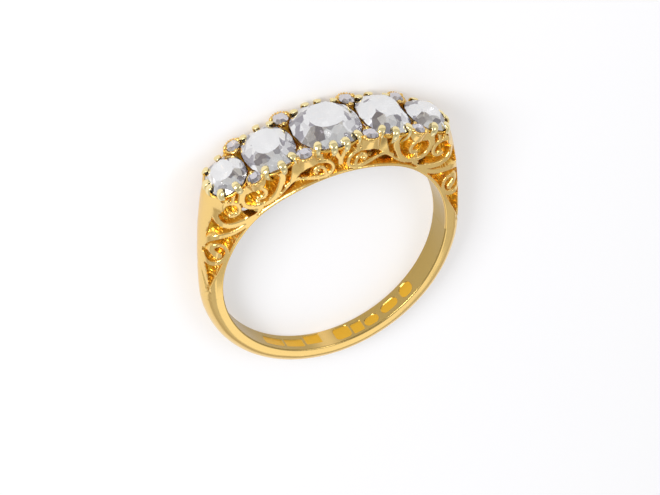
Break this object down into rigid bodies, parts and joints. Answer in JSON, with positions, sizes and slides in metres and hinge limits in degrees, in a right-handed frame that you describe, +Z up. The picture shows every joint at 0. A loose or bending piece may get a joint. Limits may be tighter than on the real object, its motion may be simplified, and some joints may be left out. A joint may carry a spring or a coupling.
{
  "type": "five stone ring",
  "caption": "Carved half hoop ring: a graduated row of cushion cut stones in claws over pierced scroll sides, with small stones in the gaps, lying on its side.",
  "frame": {"origin": "middle of the ring's box on the surface that it lies on", "axes": "+Z up, close to the finger axis, which leans by the ring's resting tilt; the row of stones faces -Y; X runs along the row of stones"},
  "size_m": [0.02, 0.0218, 0.0058],
  "materials": {
    "gold": "polished 18 carat yellow gold",
    "diamond": "cushion cut diamond, polished facets",
    "small_diamond": "small cut diamond, polished facets"
  },
  "bodies": {
    "root": {"ring_mount": "gold", "centre_stone": "diamond", "right_inner_stone": "diamond", "left_inner_stone": "diamond", "right_outer_stone": "diamond", "left_outer_stone": "diamond", "front_right_inner_accent": "small_diamond", "back_right_inner_accent": "small_diamond", "front_left_inner_accent": "small_diamond", "back_left_inner_accent": "small_diamond", "front_right_outer_accent": "small_diamond", "back_right_outer_accent": "small_diamond", "front_left_outer_accent": "small_diamond", "back_left_outer_accent": "small_diamond"}
  },
  "joints": []
}
